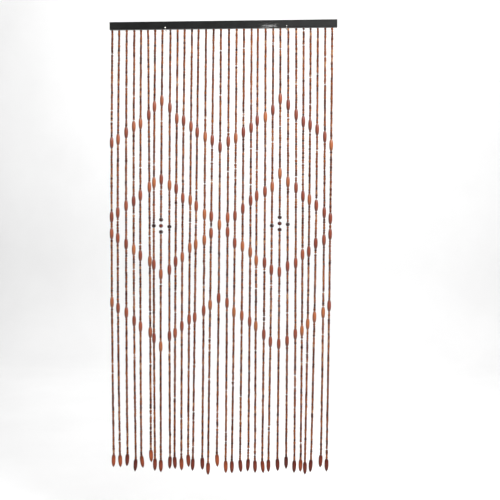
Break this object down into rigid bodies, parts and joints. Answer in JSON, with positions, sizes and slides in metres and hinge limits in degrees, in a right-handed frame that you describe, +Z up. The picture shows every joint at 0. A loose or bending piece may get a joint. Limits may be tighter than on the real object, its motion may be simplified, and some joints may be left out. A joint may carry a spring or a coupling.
{
  "type": "bead curtain with hanging rail and wall hooks",
  "caption": "Doorway bead curtain of brown wooden beads, with larger oval beads set in diamond zigzags and dark round beads in crosses, hanging from a black rail on wall hooks.",
  "frame": {"origin": "middle of the rail's flat back, where it meets the wall", "axes": "+X along the rail to the right as seen from the room, +Y into the wall, +Z up"},
  "size_m": [0.901, 0.0205, 1.808],
  "materials": {
    "rail_lacquer": "satin",
    "small_beads": "satin",
    "oval_beads": "satin",
    "round_beads": "gloss",
    "foot_beads": "satin",
    "cord": "matte",
    "hook_steel": "satin"
  },
  "bodies": {
    "root": {"rail": "rail_lacquer", "strand_01": "small_beads", "strand_02": "small_beads", "strand_03": "small_beads", "strand_04": "small_beads", "strand_05": "small_beads", "strand_06": "small_beads", "strand_07": "small_beads", "strand_08": "small_beads", "strand_09": "small_beads", "strand_10": "small_beads", "strand_11": "small_beads", "strand_12": "small_beads", "strand_13": "small_beads", "strand_14": "small_beads", "strand_15": "small_beads", "strand_16": "small_beads", "strand_17": "small_beads", "strand_18": "small_beads", "strand_19": "small_beads", "strand_20": "small_beads", "strand_21": "small_beads", "strand_22": "small_beads", "strand_23": "small_beads", "strand_24": "small_beads", "strand_25": "small_beads", "strand_26": "small_beads", "strand_27": "small_beads", "strand_28": "small_beads", "strand_29": "small_beads", "strand_30": "small_beads", "strand_31": "small_beads", "hook_left": "hook_steel", "hook_right": "hook_steel"}
  },
  "joints": []
}
